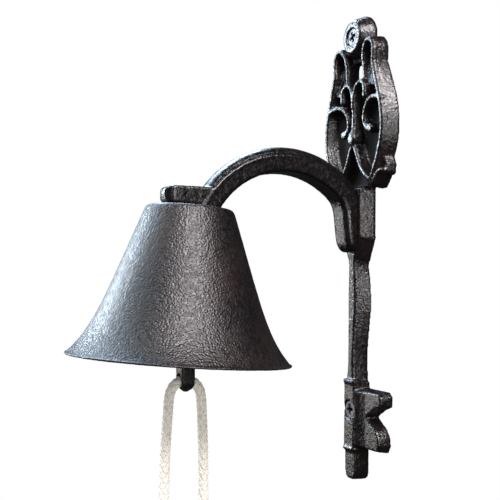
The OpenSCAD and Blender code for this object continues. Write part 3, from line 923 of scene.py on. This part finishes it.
def make_hanger(zinc, soft):
    """Eye bolt, nut, washer and rubber spacer in the crown, each in line with the leaning bell."""
    eye_wire, bolt_r, bolt_above_crown = 1.8, 3.0, 7.4
    neck_drop, washer_drop, nut_drop = EYE_DROP - EYE_R, 5.2, 10.2
    bm = bmesh.new()
    torus(bm, bell_place(EYE_DROP), EYE_R, eye_wire)
    lathe(bm, [(0, -2.4), (2.4, -2.4), (2.9, 0), (2.85, 2.2), (0, 2.2)], bell_place(neck_drop), 32)
    threaded(bm, bell_place(neck_drop), bolt_r, pitch=1.0, start=2.0, end=neck_drop + bolt_above_crown)
    piece("hanger_bolt_threaded", bm, zinc, "bracket", "hanger_bolt")
    bm = bmesh.new()
    lathe(bm, [(3.3, 0.1), (3.4, 0), (6.8, 0), (7, 0.2), (7, 1.3), (6.7, 1.6), (3.4, 1.6), (3.3, 1.5)],
          bell_place(washer_drop), 64, loop=True)
    piece("crown_washer_pressed", bm, zinc, "bracket", "crown_washer")
    bm = bmesh.new()
    nut(bm, bell_place(nut_drop), flats=10.0, height=5.0, bore=bolt_r + 0.05)
    piece("crown_nut_hex", bm, zinc, "bracket", "crown_nut")
    bm = bmesh.new()
    lathe(bm, [(3.3, 0), (6.8, 0), (7.05, 0.3), (7.1, 0.6), (7.05, 0.9), (6.8, 1.2), (3.3, 1.2)],
          bell_place(), 64, loop=True)
    piece("crown_spacer_ring", bm, soft, "bracket", "crown_spacer")


def nut(bm, place, flats, height, bore):
    """A hexagon nut whose corners are turned off at both ends."""
    sides, bevel = 96, 0.5
    # Height and the largest radius there, as a share of the width over flats
    levels = ((0, 0.47), (0.45, 0.53), (0.8, 1), (height - 0.8, 1), (height - 0.45, 0.53), (height, 0.47))
    rings = []
    for z, limit in levels:
        ring = []
        for a in angles(sides):
            hexagon = flats / 2 / math.cos((a + math.pi / 6) % (math.pi / 3) - math.pi / 6)
            r = min(hexagon, limit * flats)
            ring.append(place @ Vector((r * math.cos(a), r * math.sin(a), z)))
        rings.append(ring)
    for r, z in ((bore + bevel, height), (bore, height - bevel), (bore, bevel), (bore + bevel, 0)):
        rings.append(ring_at(place, r, z, sides))
    skin(bm, rings, loop=True)


def make_link(zinc):
    """Closed wire link between the bolt's eye and the clapper's eye, with the lump of its weld."""
    link_r, wire, long = 4.2, 1.4, 5.0
    top = JOINT["link_swing"]
    middle = Matrix.Translation((top.x, top.y, top.z - link_r - long / 2))
    place = middle @ Matrix.Rotation(math.pi / 2, 4, "Z")
    bm = bmesh.new()
    torus(bm, place, link_r, wire, long)
    lathe(bm, [(0, -1.1), (1.42, -1.0), (1.58, -0.4), (1.6, 0.3), (1.42, 1.0), (0, 1.1)],
          place @ Matrix.Translation((link_r, 0, 0)), 24)
    piece("clapper_link_welded", bm, zinc, "link", "clapper_link")


def make_clapper(material):
    """Eye, shank, ball and tail in one casting, with the moulding seam round the ball."""
    low = box_mm("clapper")[0].z
    axis, hole = JOINT["clapper_swing"], JOINT["cord_swing"]
    eye_wire, shank_r, ball_r, ball_z, seam_wire = 1.6, 3.2, 12.0, -59.8, 0.75
    eye_z = axis.z - EYE_R
    bm = bmesh.new()
    torus(bm, Matrix.Translation((0, axis.y, eye_z)), EYE_R, eye_wire)
    down = Matrix.Translation((0, axis.y, 0))
    lathe(bm, [(0, ball_z), (shank_r, ball_z), (shank_r, ball_z + 15), (3.0, eye_z - EYE_R - 3),
               (2.4, eye_z - EYE_R + 0.6), (0, eye_z - EYE_R + 1)], down)
    globe = [(ball_r * math.cos(math.radians(a)), ball_z + ball_r * math.sin(math.radians(a)))
             for a in range(-90, 91, 4)]
    lathe(bm, globe, down, 96)
    torus(bm, Matrix.Translation((0, axis.y, ball_z)), ball_r - 0.5, seam_wire, sides=8)
    tail(bm, axis.y, ball_z, hole.z, low)
    clapper = piece("clapper_casting", bm, material, "clapper", "clapper")
    holes = bmesh.new()
    # The cord's hole is narrow in the middle and flares to both sides
    flare = [(3.4, 2.8), (4.1, 3.9), (4.6, 10)]
    cut = [(r, -h) for r, h in flare[::-1]] + [(3.3, 0)] + flare
    lathe(holes, [(0, -10), *cut, (0, 10)], towards_room(hole.z, hole.y))
    melt(clapper, voxel=0.4, rounds=2, grain=0.22, grain_size=1.4, cutter=holes)


def tail(bm, y, top, hole_z, low):
    """The flat bar below the ball, which carries the cord and tapers to its end."""
    half_x, half_y, bevel = 4.7, 3.5, 0.5
    rings = []
    for z, w, t in ((top, half_x, half_y), (hole_z + 4, half_x, half_y), (hole_z - 1.4, half_x - 0.1, half_y),
                    (hole_z - 3.6, half_x - 1.1, half_y - 1.1), (low + 0.1, 1.2, 0.9)):
        right = [(w - bevel, -t), (w, bevel - t), (w, t - bevel), (w - bevel, t)]
        rings.append([Vector((dx, y + dy, z)) for dx, dy in right + mirrored(right, -1)[::-1]])
    skin(bm, rings)


# ---------------------------------------------------------------- assembly

def main():
    make_camera()
    make_lights()
    make_world()
    make_floor()
    plate_iron = painted_iron("plate_iron", peel_mm=1.1, peel_depth=0.15, rough=0.27,
                              warm=(0.010, 0.005, 0.0045), dull_below=3.2)
    arm_iron = painted_iron("arm_iron", peel_mm=1.2, peel_depth=0.09, rough=0.24, warm=(0.004, 0.003, 0.003))
    bell_iron = painted_iron("bell_iron", peel_mm=0.95, peel_depth=0.24, rough=0.40,
                             warm=(0.012, 0.0065, 0.006))
    clapper_iron = painted_iron("clapper_iron", peel_mm=1.0, peel_depth=0.06, rough=0.40,
                                warm=(0.020, 0.016, 0.015))
    black_screw = steel("black_screw", (0.10, 0.10, 0.11), rough=0.40, scratch=0.02)
    zinc = steel("zinc_steel", (0.62, 0.62, 0.65), rough=0.35, scratch=0.01)
    make_cord(cotton("cotton_cord"))
    make_key_plate(plate_iron)
    make_arm(arm_iron)
    make_bell(bell_iron)
    make_screws(black_screw, zinc)
    make_hanger(zinc, rubber("spacer_rubber"))
    make_link(zinc)
    make_clapper(clapper_iron)


main()
